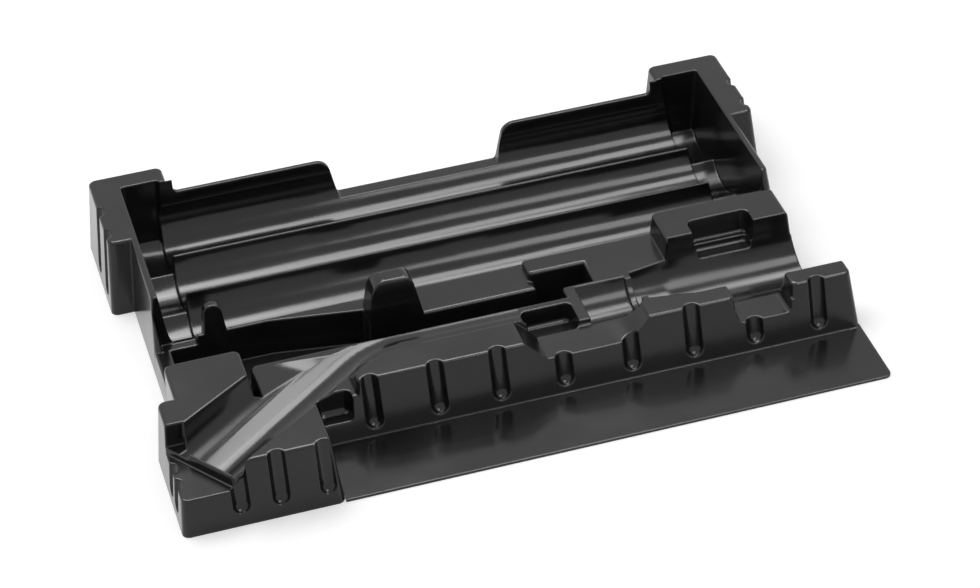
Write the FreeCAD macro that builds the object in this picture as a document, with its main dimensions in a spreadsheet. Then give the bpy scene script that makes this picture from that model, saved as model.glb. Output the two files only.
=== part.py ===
"""Thermoformed plastic tray: a tool-case insert drawn from one sheet of plastic.

The tray is one piece.  Its upper side is a solid form: lands at several heights, with troughs,
pockets and flutes cut into them.  The same form is built a second time with every land smaller
and every hollow larger by the sheet's gauge, and is taken away from below.  What stays is the
drawn sheet: open underneath, with drafted walls, rounded edges and a flat flange in front.

Frame: X along the long side, Y towards the back, Z up, origin on the table under the middle of
the tray.  Lengths are millimetres and angles are degrees.
"""
import FreeCAD, Part
import math
import os

V = FreeCAD.Vector

SIZES = {
    # sheet, draft and rounding
    "gauge": 1.2,             # thickness of the drawn sheet
    "lean": 0.096,            # draft of most walls, run over rise
    "face_lean": 0.24,        # draft of the walls that face the front
    "edge": 1.8,              # rounding of the land edges
    "fillet": 3.0,            # rounding in the bottom of pockets
    "corner": 4.0,            # rounding of upright corners
    # outline, measured at the foot of the walls
    "block_back": 134.5,      # back of the corner blocks
    "block_front": 61.4,      # front of the corner blocks
    "corner_run": 50.0,       # length of the corner blocks
    "block_step": 12.4,       # how far the corner blocks stand out from the side walls
    "side_wall": 7.8,         # side walls, from the foot outside to the rim inside
    "wall_back": 120.0,       # back wall
    "left_back": 66.0,        # back of the front left block, in front of the middle
    "wall_front": 90.0,       # front wall
    "front": 134.5,           # front edge of the flange
    "left_end": 105.8,        # right foot of the front left block, left of the middle
    # heights
    "rim": 45.0,              # corner blocks and side rims
    "wall_top": 36.5,         # back wall
    "notch_top": 12.0,        # lowered middle of the back wall
    "high": 38.0,             # left land and bridge
    "mid": 33.0,              # table, middle land and front right block
    "low": 25.0,              # raised land and the ribs round the channel
    "lower": 22.0,            # lower table and left step
    "crest": 20.0,            # crests between the rod troughs, and the ledge
    "dip": 18.0,              # pocket between the middle land and the front right block
    "sill": 15.0,             # front rim of the end seats
    "basin": 12.0,            # small basin left of the table
    # rod troughs
    "bed_half": 148.0,        # half length of the troughs
    "rod_overrun": 5.0,       # how far the round troughs run on into the end seats
    "rod": 18.0,              # radius of the back and middle troughs
    "rod_axis": 23.5,         # height of their axes
    "back_rod": 96.5,         # axis of the back trough
    "middle_rod": 59.4,       # axis of the middle trough
    "front_rod": 21.8,        # axis of the front trough
    "front_rod_r": 19.5,      # radius of the front trough
    # end seats
    "seat_length": 21.8,      # length of the seats at the rim
    "cavity_back": 117.0,     # inner face of the corner blocks' back at the rim
    "bed_back": 114.2,        # inner face of the back wall at its top
    "seat_front": 3.5,        # inner face of the sill at its top
    "seat": 28.0,             # radius of the seats
    "seat_floor": 1.6,        # lowest line of the seats
    "seat_crest": 8.0,        # crests between the seats
    "seat_round": 2.0,        # upright corners of the seats
    "bed_run": 7.0,           # how far the space above the rods runs on into the end seats
    "bed_front": -45.0,       # front end of that space
    "sill_wall": 2.6,         # what stays of the side wall outside the cut above the sill
    "sill_reach": 25.0,       # length of that cut
    "sill_mouth": -30.0,      # its front end
    "sill_back": 9.0,         # its back end
    "sill_end": 1.8,          # how far the sill stands inside the left seat
    "sill_front": -60.0,      # front end of the sill
    "sill_rear": 2.0,         # back end of the sill
    # upper edge of the back wall
    "wall_left": 140.8,       # outer ends of its raised parts, left and right
    "notch_left": 47.5,       # left end of the lowered middle
    "notch_right": 47.0,      # its right end
    "notch_lean": 4.8,        # run of the slopes at both its ends
    "notch_round": 8.0,       # rounding above the left slope
    "notch_foot": 2.5,        # rounding at the foot of the slopes
    # ledge and tabs
    "body_foot": -3.5,        # foot of the face in front of the rods
    "ledge_left": -134.7,     # left end of the skewed ledge
    "ledge_mid": -63.0,       # where the ledge widens
    "ledge_right": 30.0,      # right end of the ledge
    "ledge_skew": -7.8,       # front edge of the skewed ledge at its right end
    "ledge_front": -20.8,     # front edge of the wide ledge
    "ledge_back": 6.0,        # its back edge, inside the front trough
    "tab_top": 42.0,          # big tab
    "tab_back": -5.5,         # back edge of its top
    "tab_left": -62.5,        # its left side at the ledge
    "tab_right": -33.0,       # its right side at the ledge
    "tab_round": 9.0,         # rounding of its left shoulder
    "tab_round_right": 6.0,   # rounding of its right shoulder
    "tab_lean": 4.0,          # run of its sides above the ledge
    "peg_top": 35.0,          # small tab
    "peg_back": 9.0,          # back of the small tab
    "peg_left": -147.0,       # its left side at the top
    "peg_right": -138.0,      # its right side at the top
    "peg_round": 4.2,         # rounding of its shoulders
    "peg_flare": 4.0,         # how much its right side spreads towards the foot
    # channel and low lands
    "rib_back": -40.0,        # back edge of the rib in front of the channel
    "spur_left": -132.5,      # left end of the three-cornered land
    "channel_back": 1.0,      # foot of the wall between the rods and the channel
    "raised_left": 28.0,      # left end of the raised land
    "raised_back": 0.0,       # back edge of the raised land
    "raised_step": -13.0,     # front edge of its left part
    "raised_mid": 59.0,       # where it widens
    "raised_end": -45.0,      # front end of the raised land, in the round pockets
    "raised_front": -31.0,    # back edge of the rib in front of the channel's end
    "channel_end": 41.5,      # where the rib turns back
    # left block
    "left_land_front": -105.0,
    "left_land_back": -41.0,
    "left_land_right": -137.5,
    "step_back": -91.0,       # wall between the left step and the left land
    "notch_reach": 12.0,      # length of that wall
    "basin_left": -108.0,
    "basin_right": -87.0,
    "basin_back": -76.0,
    # centre
    "table_left": -84.0,
    "table_right": 9.0,
    "table_back": -59.0,
    "table_slope": 1.1,       # slope of the table's right end, run over rise
    "lower_front": -110.0,    # front end of the lower table, beyond the front wall
    "lower_back": -62.0,
    "lower_overlap": 4.0,     # how far the lower table's hollow starts inside the table
    "scoop": 24.0,            # radius of the scoop left of the middle land
    "scoop_x": 54.0,          # its lowest line
    "middle_left": 62.0,      # left end of the middle land, cut away by the scoop
    "middle_right": 121.0,
    "middle_back": -52.0,
    "well_left": 13.0,
    "well_front": -65.0,
    "well_back": -45.0,
    "well_floor": 14.0,
    # round pockets on the right
    "recess": 18.0,           # radius
    "recess_y": -50.5,        # its axis
    "recess_z": 31.0,
    "recess_left": 47.5,
    "recess_right": 75.5,
    "saddle": 15.0,           # radius of the low saddle in the wall between the pockets
    "cone_left": 79.0,
    "cone_r": 18.0,           # radius of the cone at its left end
    "cradle_left": 103.0,     # where the cone becomes the cradle
    "cradle": 22.0,           # radius of the cradle
    "cradle_y": -48.5,        # its axis
    "cradle_z": 30.0,
    # right
    "block_left": 153.5,      # left end of the front right block
    "block_rear": -68.0,
    "bridge_left": 102.5,
    "bridge_front": -28.0,
    "bridge_inset": 5.6,      # from the foot of the side wall to the bridge's right end
    "grip_left": 117.5,
    "grip_right": 152.5,
    "grip_back": -14.5,
    "grip_mid": -18.5,        # back of the deeper front part
    "grip_step": 25.0,        # floor behind
    "grip_floor": 21.5,       # floor in front
    # diagonal trough
    "trough": 23.0,           # radius
    "heading": 35.5,          # direction, counted from the long side
    "fall": 4.5,              # slope of its axis
    "trough_run": 122.8,      # from its lower end to the point where it turns
    "trough_over": 5.0,       # how far it runs on past the table
    "bend_r": 60.0,           # radius of the turn
    "bend_x": -71.7,          # point where both directions meet
    "bend_y": -44.0,
    "bend_z": 47.5,
    # flutes
    "flute": 4.8,             # radius
    "flute_deep": 3.6,        # depth in the wall
    "flute_low": 10.0,        # centre of the round lower end
    "left_flute_low": 12.0,   # the same in the front left block
    # small roundings, and room above
    "slight": 1.0,
    "small": 1.5,
    "soft": 2.0,
    "above": 5.0,             # how far the hollows run on past the rim and the outline
}

# lengths that follow from others
SUMS = {
    "cavity_half": "bed_half + seat_length",    # inner faces of the side walls at the rim
    "waist": "cavity_half + side_wall",         # side walls between the corner blocks
    "half_width": "waist + block_step",         # corner blocks, front blocks and flange
}

GROUP = {"form": 0, "core": 1}    # the form, and the form less the gauge

# places of the flutes along the walls
FRONT_FLUTES = (-78.0, -43.0, -9.5, 25.5, 62.5, 97.0, 131.0, 167.0)
LEFT_FLUTES = (-158.5, -138.0, -113.5)
STEP_FLUTES = (-118.0, -105.0)
BLOCK_FLUTES = (76.0, 98.0)

doc = FreeCAD.newDocument("tray")
dims = doc.addObject("Spreadsheet::Sheet", "dims")
for row, (alias, value) in enumerate(SIZES.items(), start=1):
    dims.set("A%d" % row, alias)
    dims.set("B%d" % row, str(value))
    dims.setAlias("B%d" % row, alias)
doc.recompute()


def size(text):
    """Value of an expression in the sheet's names."""
    return float(dims.evalExpression(sheet(text)))


def sheet(text):
    """The same expression with each name of the sheet marked as its cell."""
    words = []
    for word in str(text).replace("(", " ( ").replace(")", " ) ").split():
        name = word.lstrip("-")
        mark = word[:len(word) - len(name)]
        if name in SUMS:
            words.append("%s( %s )" % (mark, sheet(SUMS[name])))
        elif name in SIZES:
            words.append(mark + "dims." + name)
        else:
            words.append(word)
    return " ".join(words)


def bind(thing, **values):
    for name, text in values.items():
        thing.setExpression(name.replace("_at_", "."), sheet(text))


def frustum(name, x, y, z, ref, leans, side, core, place=V(), turn=0.0):
    """A drafted block (side 1) or a drafted hollow (side -1).

    x, y and z are pairs of expressions; x and y hold at the height ref, and are counted from
    place, after a turn about Z.  leans are the drafts of the left, right, front and back faces.
    In the core a block is smaller and a hollow larger by the gauge.
    """
    wedge = doc.addObject("Part::Wedge", name)
    upright = FreeCAD.Rotation(V(1, 0, 0), 90)
    wedge.Placement = FreeCAD.Placement(place, FreeCAD.Rotation(V(0, 0, 1), turn) * upright)
    shift = "%d * gauge" % (side * core)
    low = "( %s ) - %s" % (z[0], "gauge" if core and side < 0 else "0")
    high = "( %s ) - %s" % (z[1], "gauge" if core and side > 0 else "0")
    if core and side > 0:
        low = "( %s ) - 2 * gauge" % z[0]

    def face(place, lean, height, outward):
        sign = side * outward
        return "( %s ) + %d * ( %s ) * ( ( %s ) - ( %s ) ) - %d * %s" % (
            place, sign, lean, ref, height, outward, shift)

    def flipped(text):
        return "0 - ( %s )" % text

    left, right, front, back = leans
    bind(wedge,
         Ymin=low, Ymax=high,
         Xmin=face(x[0], left, low, -1), X2min=face(x[0], left, high, -1),
         Xmax=face(x[1], right, low, 1), X2max=face(x[1], right, high, 1),
         Zmin=flipped(face(y[1], back, low, 1)), Z2min=flipped(face(y[1], back, high, 1)),
         Zmax=flipped(face(y[0], front, low, -1)), Z2max=flipped(face(y[0], front, high, -1)))
    return wedge


def rounded(thing, side, upright, flat):
    """Round the upright edges, and the top edges of a block or the bottom edges of a hollow."""
    doc.recompute()
    box = thing.Shape.BoundBox
    level = box.ZMax if side > 0 else box.ZMin
    edges = []
    for index, edge in enumerate(thing.Shape.Edges, start=1):
        heights = [vertex.Z for vertex in edge.Vertexes]
        if max(heights) - min(heights) > 0.5:
            radius = upright
        elif abs(heights[0] - level) < 0.01:
            radius = flat
        else:
            continue
        if radius > 0.05:
            edges.append((index, radius, radius))
    if not edges:
        return thing
    fillet = doc.addObject("Part::Fillet", thing.Name + "_rounded")
    fillet.Base = thing
    fillet.Edges = edges
    return fillet


LEAN = ("lean",) * 4
FRONT_LEAN = ("lean", "lean", "face_lean", "lean")


def land(name, core, x, y, top, ref=None, leans=LEAN, upright="corner", flat="edge"):
    """A drafted block from the table up to its land."""
    block = frustum(name, x, y, ("0", top), ref or top, leans, 1, core)
    shrink = size("gauge") * core
    return rounded(block, 1, max(size(upright) - shrink, 0), max(size(flat) - shrink, 0))


def hollow(name, core, x, y, floor, ref, leans=LEAN, upright="corner", flat="fillet", **where):
    """A drafted hollow, open above."""
    block = frustum(name, x, y, (floor, "rim + above"), ref, leans, -1, core, **where)
    grown = size("gauge") * core
    return rounded(block, -1, size(upright) + grown, size(flat) + grown)


def rod(name, core, radius, y, z, x, far_radius=None):
    """A round trough along X, a cone where far_radius is given."""
    kind = "Part::Cone" if far_radius else "Part::Cylinder"
    thing = doc.addObject(kind, name)
    thing.Placement = FreeCAD.Placement(V(), FreeCAD.Rotation(V(0, 1, 0), 90))
    grown = "%d * gauge" % core
    if far_radius:
        bind(thing, Radius1="( %s ) + %s" % (radius, grown), Radius2="( %s ) + %s" % (far_radius, grown))
    else:
        bind(thing, Radius="( %s ) + %s" % (radius, grown))
    bind(thing, Height="( %s ) - ( %s ) + 2 * %s" % (x[1], x[0], grown),
         Placement_at_Base_at_x="( %s ) - %s" % (x[0], grown),
         Placement_at_Base_at_y=y, Placement_at_Base_at_z=z)
    return thing


def joined(name, things):
    fuse = doc.addObject("Part::MultiFuse", name)
    fuse.Shapes = things
    return fuse


def less(name, base, tool):
    cut = doc.addObject("Part::Cut", name)
    cut.Base, cut.Tool = base, tool
    return cut


def shared(name, one, other):
    common = doc.addObject("Part::MultiCommon", name)
    common.Shapes = [one, other]
    return common


def elevation(name, core, corners, y, grow):
    """A block drawn along Y, whose outline stands in the XZ plane.

    A corner is its x, its z and its rounding.  grow is 1 for a hollow and -1 for a block.
    """
    wire = doc.addObject("Part::Feature", name + "_line")
    wire.Shape = outline([V(size(x), 0, size(z)) for x, z, _ in corners],
                         [size(radius) for _, _, radius in corners])
    source = wire
    if core:
        source = doc.addObject("Part::Offset2D", name + "_offset")
        source.Source = wire
        bind(source, Value="%d * gauge" % grow)
    slab = doc.addObject("Part::Extrusion", name)
    slab.Base = source
    slab.DirMode = "Custom"
    slab.Dir = V(0, 1, 0)
    slab.Solid = True
    run = grow * core
    bind(slab, LengthFwd="( %s ) + %d * gauge" % (y[1], run),
         LengthRev="%d * gauge - ( %s )" % (run, y[0]))
    return slab


def outline(points, radii):
    """A closed wire through the points, with each corner rounded by its radius."""
    count = len(points)
    ends, edges = [], []
    for index, corner in enumerate(points):
        before = (points[index - 1] - corner).normalize()
        after = (points[(index + 1) % count] - corner).normalize()
        half = before.getAngle(after) / 2
        reach = radii[index] / math.tan(half)
        middle = corner + (before + after).normalize() * radii[index] * (1 / math.sin(half) - 1)
        ends.append((corner + before * reach, middle, corner + after * reach))
    for index, (start, middle, end) in enumerate(ends):
        if radii[index]:
            edges.append(Part.Arc(start, middle, end).toShape())
        edges.append(Part.LineSegment(end, ends[(index + 1) % count][0]).toShape())
    return Part.Wire(edges)


def slanted_rod(name, core, radius, start, direction, length):
    thing = doc.addObject("Part::Cylinder", name)
    turn = FreeCAD.Rotation(V(0, 0, 1), direction)
    grown = size("gauge") * core
    thing.Placement = FreeCAD.Placement(start - direction * grown, turn)
    bind(thing, Radius="( %s ) + %d * gauge" % (radius, core))
    thing.Height = length + 2 * grown
    return thing


def build(kind):
    """The tray's form, or its core."""
    core = GROUP[kind]

    def named(name):
        return "%s_%s" % (kind, name)

    # back half: one body with the corner blocks, the rod cavity and the end seats
    back = [
        land(named("body"), core, ("-waist", "waist"), ("body_foot", "wall_back"), "rim", "0",
             FRONT_LEAN, "corner", "edge"),
    ]
    for side, hand in ((-1, "left"), (1, "right")):
        outer = ("-half_width", "corner_run - half_width")
        if side > 0:
            outer = ("half_width - corner_run", "half_width")
        back.append(land(named("corner_" + hand), core, outer, ("block_front", "block_back"),
                         "rim", "0"))
    back_body = joined(named("back_body"), back)

    bed = hollow(named("bed"), core, ("-bed_half - bed_run", "bed_half + bed_run"),
                 ("bed_front", "bed_back"), "crest", "wall_top", upright="0", flat="0")
    peg = elevation(named("peg"), core, [
        ("peg_left - peg_flare", "0", "0"), ("peg_left", "peg_top", "peg_round"),
        ("peg_right", "peg_top", "peg_round"), ("peg_right + peg_flare", "0", "0")],
        ("-front", "peg_back"), -1)
    bed = less(named("bed_open"), bed, peg)
    wall_cut = elevation(named("wall_cut"), core, [
        ("-wall_left", "rim + above", "0"), ("-wall_left", "wall_top", "fillet"),
        ("-notch_left - notch_lean", "wall_top", "notch_round"),
        ("-notch_left", "notch_top", "notch_foot"), ("notch_right", "notch_top", "notch_foot"),
        ("notch_right + notch_lean", "wall_top", "notch_round"),
        ("wall_left", "wall_top", "fillet"), ("wall_left", "rim + above", "0")],
        ("back_rod", "block_back + above"), 1)
    voids = [bed, wall_cut]
    for side, hand in ((-1, "left"), (1, "right")):
        span = ("-cavity_half", "-bed_half") if side < 0 else ("bed_half", "cavity_half")
        seat = hollow(named("seat_" + hand), core, span, ("seat_front", "cavity_back"),
                      "seat_floor", "rim", flat="0", upright="seat_round")
        crest = hollow(named("seat_top_" + hand), core, span, ("seat_front", "cavity_back"),
                       "seat_crest", "rim", flat="0", upright="seat_round")
        rounds = joined(named("seat_rounds_" + hand), [
            rod(named("seat_%s_%s" % (hand, place)), core, "seat", place + "_rod",
                "seat_floor + seat", span) for place in ("back", "middle", "front")])
        voids += [shared(named("seat_cups_" + hand), seat, rounds), crest]
    sill_cut = ("sill_wall - waist", "sill_wall + sill_reach - waist")
    voids.append(hollow(named("sill_cut"), core, sill_cut, ("sill_mouth", "sill_back"), "sill",
                        "rim", flat="slight", upright="slight"))
    back_half = less(named("back_half"), back_body, joined(named("back_voids"), voids))

    # front half: lands
    wall = "-wall_front + face_lean * "
    front = [
        back_half,
        land(named("ledge"), core, ("ledge_mid", "ledge_right"), ("ledge_front", "ledge_back"),
             "crest", leans=FRONT_LEAN, upright="small"),
        skewed(named("ledge_skew"), core),
        shared(named("tab"),
               land(named("tab_body"), core, ("tab_left - corner", "tab_right + corner"),
                    ("ledge_front + face_lean * ( tab_top - crest )", "tab_back"), "tab_top",
                    leans=FRONT_LEAN, upright="0"),
               elevation(named("tab_line"), core, [
                   ("tab_left", "0", "0"), ("tab_left", "crest", "0"),
                   ("tab_left + tab_lean", "tab_top", "tab_round"),
                   ("tab_right - tab_lean", "tab_top", "tab_round_right"),
                   ("tab_right", "crest", "0"), ("tab_right", "0", "0")],
                   ("-front", "bed_half"), -1)),
        land(named("left_block"), core, ("-half_width", "-left_end"), ("-front", "-left_back"),
             "high", "0"),
        land(named("left_land"), core, ("-waist", "left_land_right"),
             ("left_land_front", "left_land_back"), "high",
             leans=("0", "lean", "lean", "face_lean")),
        land(named("low_land"), core, ("spur_left", "waist - corner"), (wall + "low", "rib_back"),
             "low", leans=FRONT_LEAN),
        land(named("low_right"), core, ("channel_end", "waist - corner"), (wall + "low", "raised_front"),
             "low", leans=FRONT_LEAN, upright="soft"),
        land(named("raised_left"), core, ("raised_left", "waist - corner"),
             ("raised_step", "raised_back"), "low", leans=FRONT_LEAN, upright="soft"),
        land(named("raised_right"), core, ("raised_mid", "waist - corner"),
             ("raised_end", "raised_back"), "low", upright="soft"),
        land(named("bridge"), core, ("bridge_left", "waist - bridge_inset"),
             ("bridge_front", "raised_back"), "high", leans=FRONT_LEAN, upright="fillet"),
        land(named("table"), core, ("table_left", "table_right"), (wall + "mid", "table_back"),
             "mid", leans=("face_lean", "table_slope", "face_lean", "lean"), upright="fillet"),
        land(named("middle"), core, ("middle_left", "middle_right"), (wall + "mid", "middle_back"),
             "mid", leans=FRONT_LEAN, upright="fillet"),
        land(named("right_block"), core, ("block_left", "half_width - lean * mid"),
             (wall + "mid", "block_rear"), "mid", leans=FRONT_LEAN),
        land(named("sill"), core, ("lean * sill - waist", "sill_end - cavity_half"),
             ("sill_front", "sill_rear"), "sill", upright="small", flat="slight"),
    ]
    lands = joined(named("lands"), front)

    # hollows cut into the lands
    rod_span = ("-bed_half - rod_overrun", "bed_half + rod_overrun")
    cuts = [
        rod(named("rod_back"), core, "rod", "back_rod", "rod_axis", rod_span),
        rod(named("rod_middle"), core, "rod", "middle_rod", "rod_axis", rod_span),
        less(named("rod_front_open"),
             rod(named("rod_front"), core, "front_rod_r", "front_rod", "rod_axis", rod_span), peg),
        hollow(named("lower"), core, ("table_right - lower_overlap", "scoop_x"),
               ("lower_front", "lower_back"), "lower", "mid",
               leans=("table_slope", "lean", "lean", "lean"), upright="0", flat="small"),
        slanted_rod(named("scoop"), core, "scoop",
                    V(size("scoop_x"), size("lower_front"), size("lower + scoop")), V(0, 1, 0),
                    size("lower_back - lower_front - small")),
        hollow(named("well"), core, ("well_left", "channel_end"), ("well_front", "well_back"),
               "well_floor", "low"),
        rod(named("recess"), core, "recess", "recess_y", "recess_z",
            ("recess_left", "recess_right")),
        rod(named("saddle"), core, "saddle", "( recess_y + cradle_y ) / 2", "recess_z",
            ("recess_right - slight", "cone_left + slight")),
        rod(named("cradle_cone"), core, "cone_r", "cradle_y", "cradle_z",
            ("cone_left", "cradle_left"), "cradle"),
        rod(named("cradle"), core, "cradle", "cradle_y", "cradle_z",
            ("cradle_left", "half_width + above")),
        hollow(named("cradle_top"), core, ("cradle_left", "half_width + above"),
               ("cradle_y - cradle", "cradle_y + cradle"), "cradle_z", "cradle_z",
               leans=("0", "0", "lean", "lean"), upright="0", flat="0"),
        hollow(named("dip"), core, ("middle_right", "block_left"), ("-front", "cradle_y"), "dip",
               "mid", upright="soft"),
        hollow(named("grip"), core, ("grip_left", "grip_right"), ("cradle_y", "grip_back"),
               "grip_step", "high", flat="small"),
        hollow(named("grip_front"), core, ("grip_left + slight", "grip_right - slight"),
               ("cradle_y", "grip_mid"), "grip_floor", "high", upright="soft", flat="small"),
        hollow(named("basin"), core, ("basin_left", "basin_right"), ("-front", "basin_back"),
               "basin", "mid"),
    ]
    cuts += diagonal(named, core)
    cuts += flutes(named, core)
    return less(named("shape"), lands, joined(named("cuts"), cuts))


def skewed(name, core):
    """The left part of the ledge, whose front edge runs forward to the big tab."""
    inset = size("gauge") * core
    bottom = -2 * inset
    top = size("crest") - inset
    left = size("ledge_left") + inset
    right = size("tab_left + corner") - inset
    back = size("front_rod") - inset
    begin = V(left, size("face_lean") * top, 0)
    finish = V(right, size("ledge_skew"), 0)
    levels = []
    for height in (bottom, top):
        drop = V(0, size("face_lean") * (height - size("crest")) + inset, height)
        foot = [V(left, back, height), begin + drop, finish + drop, V(right, back, height)]
        levels.append(Part.makePolygon(foot + foot[:1]))
    ledge = doc.addObject("Part::Feature", name)
    ledge.Shape = Part.makeLoft(levels, True, True)
    return ledge


def diagonal(named, core):
    """The round trough that runs across the left block and turns to follow the channel."""
    bend = V(size("bend_x"), size("bend_y"), size("bend_z"))
    heading = math.radians(size("heading"))
    fall = math.radians(size("fall"))
    along = V(math.cos(heading) * math.cos(fall), math.sin(heading) * math.cos(fall),
              math.sin(fall))
    turn = along.getAngle(V(1, 0, 0))
    reach = size("bend_r") * math.tan(turn / 2)
    run = size("trough_run")
    begin = bend - along * run
    step = hollow(named("step"), core, ("-front", "0"), ("-left_back", "left_back"), "lower",
                  "lower", upright="0", flat="0", place=V(begin.x, begin.y, 0),
                  turn=size("heading"))
    straight = slanted_rod(named("trough_straight"), core, "trough", begin, along, run - reach)
    notch = hollow(named("step_notch"), core,
                   ("-half_width - corner", "notch_reach - half_width"), ("-front", "step_back"),
                   "low", "low", upright="0", flat="0")
    level = slanted_rod(named("trough_level"), core, "trough", bend + V(reach, 0, 0), V(1, 0, 0),
                        size("table_right + trough_over") - bend.x - reach)
    normal = along.cross(V(1, 0, 0)).normalize()
    centre = bend + V(reach, 0, 0) + normal.cross(V(1, 0, 0)) * size("bend_r")
    ring = doc.addObject("Part::Torus", named("trough_bend"))
    bind(ring, Radius1="bend_r", Radius2="trough + %d * gauge" % core)
    ring.Angle3 = math.degrees(turn)
    start = (bend - along * reach - centre).normalize()
    ring.Placement = FreeCAD.Placement(centre, FreeCAD.Rotation(start, normal.cross(start),
                                                                normal, "ZXY"))
    return [step, notch, straight, ring, level]


def flutes(named, core):
    """Upright grooves with round lower ends in the outer walls."""
    made = []
    radius = size("flute") + size("gauge") * core
    deep = size("flute") - size("flute_deep")

    def groove(name, foot, outward, lean, start, end):
        """A slanted cylinder with a ball at its lower end, its axis outside the wall."""
        up = (V(0, 0, 1) - outward * lean).normalize()
        begin = foot + outward * deep + up * start
        ball = doc.addObject("Part::Sphere", named(name + "_end"))
        ball.Radius = radius
        ball.Placement = FreeCAD.Placement(begin, FreeCAD.Rotation())
        made.append(ball)
        made.append(slanted_rod(named(name), 0, str(radius), begin, up, end - start))

    front = V(0, -1, 0)
    top = size("rim + above")
    low = size("flute_low")
    for count, x in enumerate(FRONT_FLUTES):
        groove("flute_%d" % count, V(x, -size("wall_front"), 0), front, size("face_lean"), low, top)
    for count, x in enumerate(LEFT_FLUTES):
        groove("left_flute_%d" % count, V(x, -size("front"), 0), front, size("lean"),
               size("left_flute_low"), top)
    for count, y in enumerate(STEP_FLUTES):
        groove("step_flute_%d" % count, V(-size("half_width"), y, 0), V(-1, 0, 0),
               size("lean"), low, top)
    for side, hand in ((-1, "left"), (1, "right")):
        for count, y in enumerate(BLOCK_FLUTES):
            groove("side_flute_%s_%d" % (hand, count), V(side * size("half_width"), y, 0),
                   V(side, 0, 0), size("lean"), low, top)
    return made


def plate(name, x, y):
    """A flat stretch of the sheet that lies on the table."""
    flat = doc.addObject("Part::Box", name)
    bind(flat, Length="( %s ) - ( %s )" % (x[1], x[0]), Width="( %s ) - ( %s )" % (y[1], y[0]),
         Height="gauge", Placement_at_Base_at_x=x[0], Placement_at_Base_at_y=y[0])
    return flat


def front_corner(flat):
    """Round the front right corner of a plate."""
    doc.recompute()
    box = flat.Shape.BoundBox
    radius = size("corner")
    corner = doc.addObject("Part::Fillet", flat.Name + "_corner")
    corner.Base = flat
    corner.Edges = [(index, radius, radius) for index, edge in enumerate(flat.Shape.Edges, start=1)
                    if edge.BoundBox.XMin > box.XMax - radius and edge.BoundBox.YMax < box.YMin + radius]
    return corner


form = joined("form", [
    build("form"),
    plate("channel_floor", ("lean * sill - waist", "waist - lean * low"),
          ("-left_back", "channel_back")),
    front_corner(plate("flange", ("-left_end", "half_width"), ("-front", "fillet - wall_front"))),
])
tray = less("tray", form, build("core"))
tray.Label = "tray"
doc.recompute()
for thing in doc.Objects:
    if "Invalid" in thing.State or "Error" in thing.State:
        raise RuntimeError("%s failed: %s" % (thing.Name, thing.State))
if tray.Shape.isNull() or not tray.Shape.isValid() or len(tray.Shape.Solids) != 1:
    raise RuntimeError("the tray is not one valid solid: %d" % len(tray.Shape.Solids))
os.makedirs("parts", exist_ok=True)
tray.Shape.exportStep("parts/%s.step" % tray.Label)
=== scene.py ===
"""Black thermoformed tray: its sheet of plastic, and a pale studio round it."""
import math

import bmesh
import bpy
from bpy.props import FloatProperty, FloatVectorProperty, PointerProperty
from mathutils import Matrix, Vector


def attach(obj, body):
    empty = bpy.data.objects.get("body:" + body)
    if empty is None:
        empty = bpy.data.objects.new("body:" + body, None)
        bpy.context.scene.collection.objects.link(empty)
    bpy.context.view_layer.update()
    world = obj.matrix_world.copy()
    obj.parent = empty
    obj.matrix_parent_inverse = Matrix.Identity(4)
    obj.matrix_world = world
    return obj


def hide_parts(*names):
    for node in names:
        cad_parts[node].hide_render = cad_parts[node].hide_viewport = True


bl_info = {
    "name": "Thermoformed tray",
    "version": (1, 0, 0),
    "blender": (4, 5, 0),
    "location": "3D View > Sidebar > Tray",
    "description": "Finishes a drawn plastic tray and sets up its studio",
    "category": "Object",
}

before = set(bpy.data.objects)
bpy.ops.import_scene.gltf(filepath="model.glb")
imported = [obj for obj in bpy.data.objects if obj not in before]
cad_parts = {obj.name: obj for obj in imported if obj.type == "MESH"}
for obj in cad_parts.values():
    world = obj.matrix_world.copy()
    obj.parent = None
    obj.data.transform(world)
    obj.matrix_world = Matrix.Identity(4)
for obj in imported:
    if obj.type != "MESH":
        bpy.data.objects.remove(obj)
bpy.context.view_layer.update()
NODE = "tray"
BODY = "root"

MERGE = 1e-6                # points nearer than this are one point, in metres
SHARP = math.radians(28)    # an edge that turns by more than this stays sharp
DUSTY = 1.7                 # how much paler the black is where dust lies
FLOOR_REACH = 6.0           # from the middle of the floor to its edges, in metres
VIEW_REACH = 50.0           # how far the camera sees, in metres

KEY_POWER = 12.0            # watts of the lamp that lights everything
FRONT_POWER = 2.2           # watts of the soft box in front
BOX_POWER = 28.0            # watts for each square metre of a soft box behind
DOME = 1.5                  # distance of the soft boxes behind, in metres
# soft boxes behind: azimuth from +Y towards +X and elevation in degrees, size in metres;
# two stand side by side with a gap between them, and one hangs above the gap
BOXES = {
    "box_left": (4.0, 56.5, (0.84, 0.34)),
    "box_right": (74.0, 56.5, (0.72, 0.34)),
    "box_top": (30.0, 71.5, (0.97, 0.42)),
}


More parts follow.
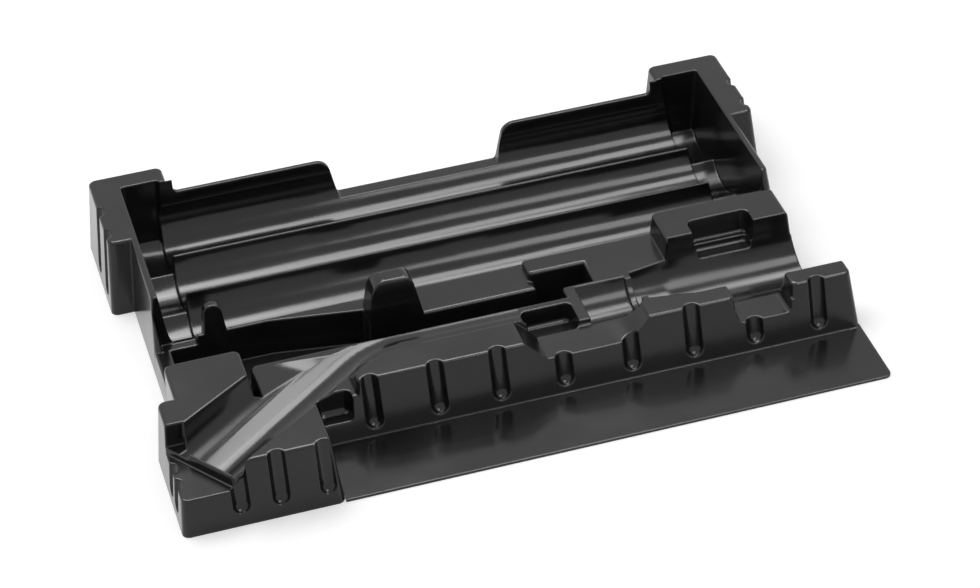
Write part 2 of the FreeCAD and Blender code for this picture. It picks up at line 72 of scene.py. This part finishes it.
class TrayPlasticSettings(bpy.types.PropertyGroup):
    """The black plastic of the sheet."""

    colour: FloatVectorProperty(
        name="Colour", description="Colour of the plastic", subtype="COLOR", size=3,
        default=(0.0065, 0.0065, 0.007), min=0, max=1)
    gloss_low: FloatProperty(
        name="Smoothest", description="Roughness where the sheet touched the polished mould",
        default=0.13, min=0, max=1)
    gloss_high: FloatProperty(
        name="Dullest", description="Roughness where the sheet is rubbed or dusty",
        default=0.21, min=0, max=1)
    refraction: FloatProperty(
        name="Refraction", description="Index of refraction of the plastic",
        default=1.42, min=1, max=2)
    edge: FloatProperty(
        name="Edge softness", description="Radius that light sees on sharp drawn edges",
        default=0.0015, min=0, unit="LENGTH")
    waviness: FloatProperty(
        name="Waviness", description="Depth of the slow waves that a drawn sheet keeps",
        default=0.0005, min=0, unit="LENGTH")
    wave_length: FloatProperty(
        name="Wave length", description="Distance between the slow waves",
        default=0.045, min=0.001, unit="LENGTH")


class StudioSettings(bpy.types.PropertyGroup):
    """Camera, lamps and floor."""

    azimuth: FloatProperty(
        name="Azimuth", description="Turn of the camera's line of sight, from +Y towards +X",
        default=math.radians(13.927), subtype="ANGLE", unit="ROTATION")
    elevation: FloatProperty(
        name="Elevation", description="Height of the camera above the floor, as an angle",
        default=math.radians(36.768), subtype="ANGLE", unit="ROTATION")
    roll: FloatProperty(
        name="Roll", description="Turn of the camera about its line of sight",
        default=math.radians(-3.826), subtype="ANGLE", unit="ROTATION")
    distance: FloatProperty(
        name="Distance", description="From the camera to the point it aims at",
        default=1.641, min=0.1, unit="LENGTH")
    aim: FloatVectorProperty(
        name="Aim", description="Point that the camera aims at", subtype="TRANSLATION",
        default=(0.0097, 0.0018, 0.0054))
    lens: FloatProperty(
        name="Lens", description="Focal length in millimetres on a 36 mm wide sensor",
        default=110.2, min=10, max=500)
    floor_colour: FloatVectorProperty(
        name="Floor", description="Colour of the floor", subtype="COLOR", size=3,
        default=(0.80, 0.80, 0.80), min=0, max=1)
    floor_glow: FloatProperty(
        name="Floor white", description="White that the floor adds to what is seen",
        default=0.40, min=0, max=1)
    world_level: FloatProperty(
        name="Ambient", description="Light that comes evenly from all round",
        default=0.55, min=0, max=4)


def node_of(tree, kind, at=(0, 0), **inputs):
    """A shader node with the named inputs set."""
    made = tree.nodes.new(kind)
    made.location = at
    for name, value in inputs.items():
        made.inputs[name.replace("_", " ")].default_value = value
    return made


def seen_white(tree):
    """A mask that is 1 for what the camera, a reflection or a refraction sees."""
    path = tree.nodes.new("ShaderNodeLightPath")
    path.location = (-800, 0)
    total = path.outputs["Is Camera Ray"]
    for count, kind in enumerate(("Is Glossy Ray", "Is Transmission Ray")):
        larger = tree.nodes.new("ShaderNodeMath")
        larger.operation = "MAXIMUM"
        larger.location = (-600 + 200 * count, 0)
        tree.links.new(total, larger.inputs[0])
        tree.links.new(path.outputs[kind], larger.inputs[1])
        total = larger.outputs[0]
    return total


def plastic_material(values):
    """Black drawn plastic: slow waves, fine grain, and gloss that varies over the sheet."""
    material = bpy.data.materials.new("black_plastic")
    material.use_nodes = True
    tree = material.node_tree
    tree.nodes.clear()
    output = tree.nodes.new("ShaderNodeOutputMaterial")
    output.location = (600, 0)
    surface = node_of(tree, "ShaderNodeBsdfPrincipled", (300, 0))
    surface.inputs["IOR"].default_value = values.refraction
    tree.links.new(surface.outputs["BSDF"], output.inputs["Surface"])
    where = tree.nodes.new("ShaderNodeTexCoord")
    where.location = (-900, 0)

    # colour: the black pales a little where dust lies
    dust = node_of(tree, "ShaderNodeTexNoise", (-600, 300), Scale=28.0, Detail=5.0, Roughness=0.62)
    tint = tree.nodes.new("ShaderNodeValToRGB")
    tint.location = (-300, 300)
    tint.color_ramp.elements[0].position = 0.45
    tint.color_ramp.elements[0].color = (*values.colour, 1)
    tint.color_ramp.elements[1].position = 0.80
    tint.color_ramp.elements[1].color = (*(channel * DUSTY for channel in values.colour), 1)
    tree.links.new(where.outputs["Object"], dust.inputs["Vector"])
    tree.links.new(dust.outputs["Fac"], tint.inputs["Fac"])
    tree.links.new(tint.outputs["Color"], surface.inputs["Base Color"])

    # gloss: from smooth to dull in broad patches
    rubbed = node_of(tree, "ShaderNodeTexNoise", (-600, 0), Scale=11.0, Detail=4.0, Roughness=0.55)
    gloss = tree.nodes.new("ShaderNodeMapRange")
    gloss.location = (-300, 0)
    gloss.inputs["From Min"].default_value = 0.35
    gloss.inputs["From Max"].default_value = 0.70
    gloss.inputs["To Min"].default_value = values.gloss_low
    gloss.inputs["To Max"].default_value = values.gloss_high
    tree.links.new(where.outputs["Object"], rubbed.inputs["Vector"])
    tree.links.new(rubbed.outputs["Fac"], gloss.inputs["Value"])
    tree.links.new(gloss.outputs["Result"], surface.inputs["Roughness"])

    # soft edges, then slow waves, then fine grain
    soft = tree.nodes.new("ShaderNodeBevel")
    soft.location = (-600, -300)
    soft.samples = 8
    soft.inputs["Radius"].default_value = values.edge
    waves = node_of(tree, "ShaderNodeTexNoise", (-600, -500), Scale=1 / values.wave_length,
                    Detail=2.0, Roughness=0.4)
    wavy = tree.nodes.new("ShaderNodeBump")
    wavy.location = (-300, -400)
    wavy.inputs["Strength"].default_value = 1.0
    wavy.inputs["Distance"].default_value = values.waviness
    grain = node_of(tree, "ShaderNodeTexNoise", (-600, -750), Scale=900.0, Detail=2.0)
    grained = tree.nodes.new("ShaderNodeBump")
    grained.location = (0, -500)
    grained.inputs["Strength"].default_value = 0.25
    grained.inputs["Distance"].default_value = 0.00002
    tree.links.new(where.outputs["Object"], waves.inputs["Vector"])
    tree.links.new(where.outputs["Object"], grain.inputs["Vector"])
    tree.links.new(waves.outputs["Fac"], wavy.inputs["Height"])
    tree.links.new(soft.outputs["Normal"], wavy.inputs["Normal"])
    tree.links.new(grain.outputs["Fac"], grained.inputs["Height"])
    tree.links.new(wavy.outputs["Normal"], grained.inputs["Normal"])
    tree.links.new(grained.outputs["Normal"], surface.inputs["Normal"])
    return material


class TRAY_OT_sheet(bpy.types.Operator):
    """Make the drawn sheet with its soft edges and give it its plastic"""

    bl_idname = "tray.sheet"
    bl_label = "Plastic sheet"

    def execute(self, context):
        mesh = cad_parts[NODE].data.copy()
        sheet = bpy.data.objects.new("drawn_sheet", mesh)
        context.scene.collection.objects.link(sheet)
        work = bmesh.new()
        work.from_mesh(mesh)
        bmesh.ops.remove_doubles(work, verts=work.verts, dist=MERGE)
        bmesh.ops.dissolve_degenerate(work, edges=work.edges, dist=MERGE)
        for face in work.faces:
            face.smooth = True
        for edge in work.edges:
            edge.smooth = len(edge.link_faces) == 2 and edge.calc_face_angle(0) < SHARP
        work.to_mesh(mesh)
        work.free()
        weighted = sheet.modifiers.new("weighted", "WEIGHTED_NORMAL")
        weighted.keep_sharp = True
        mesh.materials.clear()
        mesh.materials.append(plastic_material(context.scene.tray_plastic))
        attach(sheet, BODY)
        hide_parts(NODE)
        return {"FINISHED"}


def direction(azimuth, elevation):
    """The unit vector that points that way: azimuth from +Y towards +X, elevation upwards."""
    level = math.cos(elevation)
    return Vector((math.sin(azimuth) * level, math.cos(azimuth) * level, math.sin(elevation)))


def area_lamp(name, place, target, size, power, gloss_only=False):
    """A soft rectangular lamp that points at its target."""
    data = bpy.data.lights.new(name, "AREA")
    data.shape = "RECTANGLE"
    data.size, data.size_y = size
    data.energy = power
    lamp = bpy.data.objects.new(name, data)
    bpy.context.scene.collection.objects.link(lamp)
    lamp.location = place
    lamp.rotation_euler = (Vector(target) - Vector(place)).to_track_quat("-Z", "Y").to_euler()
    lamp.visible_camera = False
    lamp.visible_diffuse = not gloss_only


def box_lamp(name, azimuth, elevation, size):
    """A soft box on a dome round the tray, seen in the gloss only."""
    place = direction(math.radians(azimuth), math.radians(elevation))
    area_lamp(name, place * DOME, (0, 0, 0), size, BOX_POWER * size[0] * size[1], gloss_only=True)


class TRAY_OT_stage(bpy.types.Operator):
    """Set up the floor, the world, the lamps and the camera"""

    bl_idname = "tray.stage"
    bl_label = "Studio"

    def execute(self, context):
        scene = context.scene
        values = scene.tray_studio
        self.make_floor(scene, values)
        self.make_world(scene, values)
        self.make_lamps()
        self.make_camera(scene, values)
        scene.view_settings.view_transform = "Standard"
        return {"FINISHED"}

    @staticmethod
    def make_floor(scene, values):
        mesh = bpy.data.meshes.new("floor")
        work = bmesh.new()
        bmesh.ops.create_grid(work, x_segments=1, y_segments=1, size=FLOOR_REACH)
        work.to_mesh(mesh)
        work.free()
        floor = bpy.data.objects.new("floor", mesh)
        scene.collection.objects.link(floor)
        material = bpy.data.materials.new("pale_floor")
        material.use_nodes = True
        tree = material.node_tree
        surface = tree.nodes["Principled BSDF"]
        surface.inputs["Base Color"].default_value = (*values.floor_colour, 1)
        surface.inputs["Roughness"].default_value = 0.9
        surface.inputs["Specular IOR Level"].default_value = 0.0
        surface.inputs["Emission Color"].default_value = (1, 1, 1, 1)
        level = tree.nodes.new("ShaderNodeMath")
        level.operation = "MULTIPLY"
        level.inputs[1].default_value = values.floor_glow
        tree.links.new(seen_white(tree), level.inputs[0])
        tree.links.new(level.outputs[0], surface.inputs["Emission Strength"])
        mesh.materials.append(material)

    @staticmethod
    def make_world(scene, values):
        world = bpy.data.worlds.new("studio")
        scene.world = world
        world.use_nodes = True
        tree = world.node_tree
        background = tree.nodes["Background"]
        background.inputs["Color"].default_value = (1, 1, 1, 1)
        level = tree.nodes.new("ShaderNodeMapRange")
        level.inputs["To Min"].default_value = values.world_level
        level.inputs["To Max"].default_value = 1.0
        tree.links.new(seen_white(tree), level.inputs["Value"])
        tree.links.new(level.outputs["Result"], background.inputs["Strength"])

    @staticmethod
    def make_lamps():
        area_lamp("key", (-0.5, 0.5, 1.6), (0, 0, 0), (1.2, 0.8), KEY_POWER)
        for name, (azimuth, elevation, size) in BOXES.items():
            box_lamp(name, azimuth, elevation, size)
        area_lamp("box_front", (0.325, -0.40, 0.709), (0.1, 0, 0), (0.45, 0.26), FRONT_POWER,
                  gloss_only=True)

    @staticmethod
    def make_camera(scene, values):
        ahead = direction(values.azimuth, -values.elevation)
        right = Vector((math.cos(values.azimuth), -math.sin(values.azimuth), 0))
        turned = Matrix.Rotation(-values.roll, 3, ahead)
        right = turned @ right
        up = right.cross(ahead)
        data = bpy.data.cameras.new("camera")
        data.lens = values.lens
        data.clip_end = VIEW_REACH
        camera = bpy.data.objects.new("camera", data)
        scene.collection.objects.link(camera)
        turn = Matrix((right, up, -ahead)).transposed().to_4x4()
        camera.matrix_world = Matrix.Translation(Vector(values.aim) - ahead * values.distance) @ turn
        scene.camera = camera


class TRAY_PT_panel(bpy.types.Panel):
    """Lists the tray's pieces and their values"""

    bl_idname = "TRAY_PT_panel"
    bl_label = "Thermoformed tray"
    bl_space_type = "VIEW_3D"
    bl_region_type = "UI"
    bl_category = "Tray"

    def draw(self, context):
        for operator, settings in (("tray.sheet", context.scene.tray_plastic),
                                   ("tray.stage", context.scene.tray_studio)):
            box = self.layout.box()
            box.operator(operator)
            for name in settings.bl_rna.properties.keys():
                if name not in ("rna_type", "name"):
                    box.prop(settings, name)


CLASSES = (TrayPlasticSettings, StudioSettings, TRAY_OT_sheet, TRAY_OT_stage, TRAY_PT_panel)


def register():
    for item in CLASSES:
        bpy.utils.register_class(item)
    bpy.types.Scene.tray_plastic = PointerProperty(type=TrayPlasticSettings)
    bpy.types.Scene.tray_studio = PointerProperty(type=StudioSettings)


def unregister():
    del bpy.types.Scene.tray_studio
    del bpy.types.Scene.tray_plastic
    for item in reversed(CLASSES):
        bpy.utils.unregister_class(item)


def main():
    register()
    bpy.ops.tray.sheet()
    bpy.ops.tray.stage()


if __name__ == "__main__":
    main()
